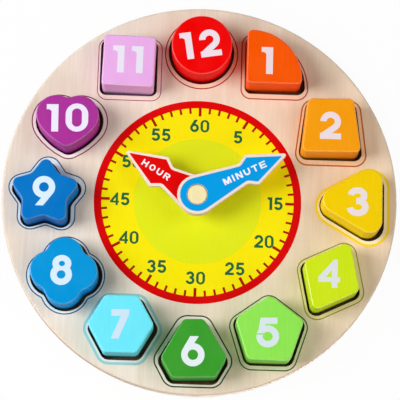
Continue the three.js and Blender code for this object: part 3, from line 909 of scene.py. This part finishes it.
panel_wood = plywood(
    "birch_face", pale=(248, 237, 225), right_tint_and_shade=(252, 228, 202), dark=(216, 190, 160),
    ply_pale=(238, 220, 198), ply_dark=(204, 172, 144), ply_thickness=1.5, first_ply=BASE_TOP,
    contrast=0.9, socket_walls=True,
)
base_wood = plywood(
    "ply_back", pale=(218, 188, 154), right_tint_and_shade=(214, 180, 142), dark=(184, 146, 108),
    ply_pale=(230, 208, 182), ply_dark=(190, 156, 126), ply_thickness=1.33, first_ply=0.0,
    contrast=1.6, socket_floors=True,
)
hand_wood = plywood(
    "birch_hand", pale=(252, 238, 228), right_tint_and_shade=(252, 236, 222), dark=(232, 208, 186),
    ply_pale=(246, 230, 218), ply_dark=(216, 184, 162), ply_thickness=0.93, first_ply=0.0,
)
peg_wood = turned_wood("beech_turned", (252, 240, 186), (234, 212, 158))
felt_fibre = felt("washer_felt", (66, 54, 46))
zinc = plated_steel("zinc_plate", (190, 192, 196))

for node_name, material in (
    ("top_panel", panel_wood), ("base_panel", base_wood),
    ("hour_hand", hand_wood), ("minute_hand", hand_wood),
    ("axle_peg", peg_wood), ("spacer_collar", peg_wood),
    ("lower_washer", felt_fibre), ("middle_washer", felt_fibre),
    ("rear_washer", zinc), ("rear_screw", zinc),
):
    materials = nodes[node_name].data.materials
    materials.clear()
    materials.append(material)

# The blocks with their numerals, and the prints round their sockets

Block = namedtuple("Block", (
    # Hour, shape, outline, paint's colour and slot.
    "hour", "shape", "arcs", "rgb", "slot",
    # How it lies in its socket: to the right, up, and turned anticlockwise, as shares of the play.
    "loose_right", "loose_up", "loose_turn",
    # The line round the socket: its colour, its distance from the socket's edge, its width, its shift.
    "line_rgb", "margin", "line_width", "line_shift",
    # The colour of the land inside the line.
    "land_rgb",
    # The numeral's colour, its shift off the block's centre, and its tilt.
    "numeral_rgb", "numeral_shift", "tilt_deg",
))

BLOCKS = (
    Block(1, "quarter_disc", quarter_disc_outline(), (255, 88, 0), "orange_paint", -0.8, 0.53, 0,
          (176, 52, 30), 1.75, 0.65, (-0.2, -1.1), (250, 214, 188),
          (242, 222, 230), (-4.2, -2.2), 0.0),
    Block(2, "trapezoid", mirrored_polygon((0.434, -0.402, 0.08), (0.333, 0.402, 0.08)),
          (255, 162, 12), "amber_paint", -0.7, -0.1, 0.28,
          (184, 100, 36), 2.0, 0.8, (0.3, -0.9), (250, 212, 172),
          (244, 228, 232), (0.0, -0.1), 0.0),
    Block(3, "triangle", triangle_outline(), (252, 212, 0), "yellow_paint", -0.77, 0.12, 0,
          (250, 216, 50), 2.1, 1.5, (0.3, -0.4), (253, 238, 200),
          (242, 230, 230), (-0.2, -0.7), 1.0),
    Block(4, "rhombus", rhombus_outline(), (212, 238, 24), "lime_paint", -0.25, 0.2, 0,
          (150, 138, 44), 1.85, 0.6, (0.3, -0.1), (236, 222, 164),
          (228, 234, 232), (-1.1, 1.6), 0.0),
    Block(5, "pentagon", regular_polygon(5, 0.517, 0.095, 90),
          (146, 236, 84), "light_green_paint", -0.3, -0.08, 0,
          (40, 84, 30), 1.65, 0.65, (-0.2, -0.6), (228, 224, 190),
          (220, 236, 238), (-0.9, -1.0), 2.0),
    Block(6, "cut_triangle",
          mirrored_polygon((0.312, -0.418, 0.09), (0.474, -0.131, 0.09), (0.147, 0.418, 0.09)),
          (58, 158, 44), "green_paint", 0.05, 0.42, 0.5,
          (8, 62, 38), 2.1, 0.75, (0.0, 0.6), (246, 238, 222),
          (232, 242, 246), (-0.4, -1.9), 1.5),
    Block(7, "hexagon", regular_polygon(6, 0.4745, 0.085, 0),
          (110, 236, 255), "sky_paint", -0.56, 0.58, 0,
          (158, 204, 206), 1.8, 1.5, (0.0, -0.1), (234, 236, 230),
          (206, 230, 248), (1.3, 0.0), 2.0),
    Block(8, "quatrefoil", quatrefoil_outline(), (0, 148, 218), "blue_paint", -0.46, 0.08, -0.43,
          (24, 84, 124), 1.45, 0.65, (-0.3, 0.0), (232, 238, 236),
          (214, 236, 252), (-0.8, 0.0), -1.5),
    Block(9, "star", star_outline(), (0, 114, 196), "deep_blue_paint", 0, -0.23, 0,
          (20, 80, 122), 2.0, 0.65, (0.3, 0.9), (228, 238, 242),
          (214, 236, 252), (-0.3, 0.4), 0.0),
    Block(10, "heart", heart_outline(), (170, 48, 152), "purple_paint", -0.32, -0.15, 0,
          (116, 16, 42), 2.15, 0.6, (0.1, 0.0), (248, 234, 230),
          (238, 232, 252), (0.1, 0.5), 1.5),
    Block(11, "square", mirrored_polygon((0.382, -0.382, 0.055), (0.382, 0.382, 0.055)),
          (238, 176, 238), "pink_paint", 0.23, 0, -0.38,
          (150, 72, 104), 1.75, 0.5, (0.6, -0.9), (248, 224, 210),
          (236, 230, 246), (-0.5, 0.9), -0.5),
    Block(12, "disc", disc_outline(), (246, 0, 0), "red_paint", 0, 0.1, 0,
          (168, 14, 26), 1.85, 0.65, (0.1, -0.7), (246, 212, 186),
          (244, 228, 238), (-0.4, 0.6), 9.5),
)


def block_place(node, arcs, turn_deg):
    """Where a turned outline's own origin lies: its box has the same middle as the node's."""
    points = placed(outline(arcs, 0), (0, 0), turn_deg)
    low = Vector((min(p.x for p in points), min(p.y for p in points)))
    high = Vector((max(p.x for p in points), max(p.y for p in points)))
    return middle(node) - (low + high) / 2


for block in BLOCKS:
    hour, arcs = block.hour, block.arcs
    node_name = f"block_{hour}_{block.shape}"
    body = f"block_{hour}"
    turn_deg = block.loose_turn * TURNING_PLAY_DEG
    place = block_place(node_name, arcs, turn_deg)
    socket_place = place - Vector((block.loose_right, block.loose_up)) * PLAY
    block_paint = paint(f"paint_{hour}", block.rgb)
    piece_name = f"{block.shape}_{hour}"
    rounded_block(piece_name, node_name, arcs, place, turn_deg, block_paint, body)

    line_place = socket_place + Vector(block.line_shift)
    inner = SOCKET_CLEARANCE + block.margin - block.line_width / 2
    inside_line = placed(outline(arcs, inner), line_place)
    line = ([placed(outline(arcs, inner + block.line_width), line_place)], [inside_line])
    line_ink = ink(f"line_ink_{hour}", block.line_rgb)
    thin_solid(f"socket_line_{hour}", [line], PANEL_TOP, line_ink, "board")
    land = ([inside_line], [placed(outline(arcs, SOCKET_CLEARANCE + LAND_INSET), socket_place)])
    land_ink = ink(f"land_ink_{hour}", block.land_rgb, wear=0.6)
    thin_solid(f"socket_land_{hour}", [land], PANEL_TOP, land_ink, "board")

    numeral = glyph_row(
        str(hour), block_digit, NUMERAL_WIDTH, NUMERAL_HEIGHT, NUMERAL_WEIGHT, NUMERAL_GAP,
    )
    numeral = moved_regions(numeral, place + Vector(block.numeral_shift), block.tilt_deg)
    numeral_ink = ink(f"numeral_ink_{hour}", block.numeral_rgb, wear=0.1)
    thin_solid(f"numeral_{hour}", numeral, BLOCK_TOP, numeral_ink, body)

# The dial's print, in two coats

red_ink = ink("dial_red", (220, 0, 2))
marks_ink = ink("dial_marks", (172, 16, 0))
yellow_ink = ink("dial_yellow", (254, 236, 6))
lime_ink = ink("dial_lime", (228, 236, 24))
teal_ink = ink("dial_teal", (30, 100, 60))


def dial_piece(name, regions, coats_below, material):
    regions = moved_regions(regions, DIAL_CENTRE)
    thin_solid(name, regions, PANEL_TOP + coats_below * FILM, material, "board")


hole = placed(circle(COLLAR_RADIUS + COLLAR_GAP, 64), AXLE - DIAL_CENTRE)
field_edge = circle(FIELD_RADIUS, 180)
dial_piece("dial_rim", [([circle(DIAL_RADIUS, 180)], [field_edge])], 0, red_ink)
dial_piece("dial_field", [([field_edge], [hole])], 0, yellow_ink)
dial_piece("dial_centre", [([circle(LIME_RADIUS, 144)], [hole])], 1, lime_ink)

marks = []
for minute in range(60):
    length, width = LONG_MARK if minute % 5 == 0 else SHORT_MARK
    bar = rectangle(-width / 2, FIELD_RADIUS - length, width / 2, FIELD_RADIUS + MARK_OVERLAP)
    marks.append(([placed(bar, (0, 0), -DEG_PER_MINUTE * minute)], []))
dial_piece("minute_marks", marks, 1, marks_ink)

for number in range(5, 65, 5):
    angle = math.radians(90 - DEG_PER_MINUTE * number)
    figures = glyph_row(
        str(number), dial_digit, NUMBER_WIDTH, NUMBER_HEIGHT, NUMBER_WEIGHT, NUMBER_GAP,
    )
    figures = moved_regions(figures, turn(angle) * NUMBER_RADIUS)
    dial_piece(f"minutes_{number}", figures, 1, teal_ink)

# The hands' print: coloured fields inset from the wood's edge, with a word along each hand

word_white = ink("word_white", (250, 246, 250), wear=0.1)


def hand_print(hand, top, bearing_deg, arcs, hole_radius, rgb, word, word_turn_deg, word_reach):
    """Prints one hand; word holds what glyph_row asks for, and word_reach is its distance from the axle."""
    field = placed(outline(arcs, 0), AXLE, -bearing_deg)
    regions = [([field], [circle(hole_radius, 48, AXLE)])]
    thin_solid(f"{hand}_field", regions, top, ink(f"{hand}_field", rgb, wear=0.15), hand)
    letters = moved_regions(glyph_row(*word), (0, word_reach), word_turn_deg)
    letters = moved_regions(letters, AXLE, -bearing_deg)
    thin_solid(f"{hand}_word", letters, top + FILM, word_white, hand)


hand_print(
    "hour_hand", HOUR_TOP, HOUR_BEARING_DEG,
    hand_outline(44.2, neck=(4.6, 20.0), shoulder=(8.0, 25.2)), hole_radius=4.2,
    rgb=(226, 0, 0),
    word=("HOUR", letter, 3.4, 3.6, 0.85, 1.3), word_turn_deg=-90, word_reach=26.9,
)
hand_print(
    "minute_hand", MINUTE_TOP, MINUTE_BEARING_DEG,
    hand_outline(51.2, neck=(4.4, 28.3), shoulder=(7.5, 33.3)), hole_radius=PEG_HEAD_RADIUS + 0.4,
    rgb=(0, 158, 234),
    word=("MINUTE", letter, 3.6, 3.75, 0.9, 1.2), word_turn_deg=90, word_reach=28.8,
)

# Floor, light and camera

WHITE = (1, 1, 1, 1)


def coloured(tree, kind, rgba):
    node = tree.nodes.new(kind)
    node.inputs["Color"].default_value = rgba
    return node


def either(tree, first, second):
    """1 where one of two sockets is 1."""
    node = tree.nodes.new("ShaderNodeMath")
    node.operation = "MAXIMUM"
    tree.links.new(first, node.inputs[0])
    tree.links.new(second, node.inputs[1])
    return node.outputs[0]


def mixed(tree, factor, first, second):
    """A mix of two shaders; the factor is a socket or a number."""
    node = tree.nodes.new("ShaderNodeMixShader")
    if isinstance(factor, float):
        node.inputs[0].default_value = factor
    else:
        tree.links.new(factor, node.inputs[0])
    tree.links.new(first.outputs[0], node.inputs[1])
    tree.links.new(second.outputs[0], node.inputs[2])
    return node


# The floor lies just under the board, so that the two don't share a plane.
FLOOR_REACH, FLOOR_LEVEL = 3.0, -0.05 * MM
floor_corners = []
for side_x, side_y in ((-1, -1), (1, -1), (1, 1), (-1, 1)):
    floor_corners.append((side_x * FLOOR_REACH, side_y * FLOOR_REACH, FLOOR_LEVEL))
floor_mesh = bpy.data.meshes.new("floor")
floor_mesh.from_pydata(floor_corners, [], [(0, 1, 2, 3)])
floor = bpy.data.objects.new("floor", floor_mesh)
bpy.context.scene.collection.objects.link(floor)

# The camera and reflections see near-white paper that keeps the object's shadow. Other rays meet a darker
# table, so that the floor sends less light back to the object.
GLOW_SHARE = 0.95
floor_look = bpy.data.materials.new("floor_white")
floor_look.use_nodes = True
tree = floor_look.node_tree
tree.nodes.clear()
table = coloured(tree, "ShaderNodeBsdfDiffuse", (0.3, 0.3, 0.3, 1))
paper = coloured(tree, "ShaderNodeBsdfDiffuse", (0.86, 0.86, 0.86, 1))
glow = coloured(tree, "ShaderNodeEmission", WHITE)
glow.inputs["Strength"].default_value = 1.0
path = tree.nodes.new("ShaderNodeLightPath")
seen = either(tree, path.outputs["Is Camera Ray"], path.outputs["Is Glossy Ray"])
upper_side = mixed(tree, seen, table, mixed(tree, GLOW_SHARE, paper, glow))
# From below the floor is open to the view and to the lamp there, so that the board's back can be seen.
side = tree.nodes.new("ShaderNodeNewGeometry")
open_below = either(tree, side.outputs["Backfacing"], path.outputs["Is Shadow Ray"])
clear = tree.nodes.new("ShaderNodeBsdfTransparent")
floor_output = tree.nodes.new("ShaderNodeOutputMaterial")
tree.links.new(mixed(tree, open_below, upper_side, clear).outputs[0], floor_output.inputs[0])
floor_mesh.materials.append(floor_look)

# The world lights softly and warmly, and is white where the camera or a reflection sees it.
world = bpy.data.worlds.new("studio")
bpy.context.scene.world = world
world.use_nodes = True
tree = world.node_tree
soft = tree.nodes["Background"]
soft.inputs["Color"].default_value = (1.0, 0.87, 0.72, 1)
soft.inputs["Strength"].default_value = 0.1
backdrop = coloured(tree, "ShaderNodeBackground", WHITE)
backdrop.inputs["Strength"].default_value = 1.0
path = tree.nodes.new("ShaderNodeLightPath")
seen = either(tree, path.outputs["Is Camera Ray"], path.outputs["Is Glossy Ray"])
tree.links.new(mixed(tree, seen, soft, backdrop).outputs[0], tree.nodes["World Output"].inputs[0])

# Square lamps, aimed at the board's centre: name, place in metres, width, power and colour. The one
# underneath is for the board's back.
LAMPS = (
    ("key", (-0.68, 0.0, 0.68), 0.5, 6.4, (0.98, 1.0, 1.03)),
    ("low_key", (-0.95, 0.0, 0.40), 0.5, 3.0, (1.0, 1.0, 1.0)),
    ("right_fill", (0.65, 0.10, 0.75), 0.6, 3.1, (1.0, 0.99, 0.97)),
    ("near_fill", (0.50, -0.90, 0.55), 0.7, 3.9, (1.0, 0.99, 0.97)),
    ("under", (0.25, -0.35, -0.9), 0.6, 11.0, (1.0, 1.0, 1.0)),
)
for name, place, size, power, rgb in LAMPS:
    lamp = bpy.data.lights.new(name, "AREA")
    lamp.shape = "SQUARE"
    lamp.size = size
    lamp.energy = power
    lamp.color = rgb
    holder = bpy.data.objects.new(name, lamp)
    holder.location = place
    holder.rotation_euler = (-Vector(place)).to_track_quat("-Z", "Y").to_euler()
    bpy.context.scene.collection.objects.link(holder)

# The camera was fitted to the photo. Its place and target are in metres.
CAMERA_PLACE = Vector((-0.0132, -0.2107, 0.9853))
CAMERA_TARGET = Vector((0.0003, -0.0014, 0.010))
CAMERA_ROLL_DEG = 1.65
SENSOR_WIDTH, FOCAL_LENGTH = 36, 161.4
NEAREST, FURTHEST = 0.05, 20

camera_data = bpy.data.cameras.new("camera")
camera_data.sensor_width = SENSOR_WIDTH
camera_data.lens = FOCAL_LENGTH
camera_data.clip_start = NEAREST
camera_data.clip_end = FURTHEST
camera = bpy.data.objects.new("camera", camera_data)
bpy.context.scene.collection.objects.link(camera)
forward = (CAMERA_TARGET - CAMERA_PLACE).normalized()
level_right = forward.cross(Vector((0, 1, 0))).normalized()
right = Matrix.Rotation(math.radians(CAMERA_ROLL_DEG), 3, -forward) @ level_right
axes = Matrix((right, right.cross(forward), -forward)).transposed()
camera.matrix_world = Matrix.Translation(CAMERA_PLACE) @ axes.to_4x4()
bpy.context.scene.camera = camera

bpy.context.scene.view_settings.view_transform = "Standard"
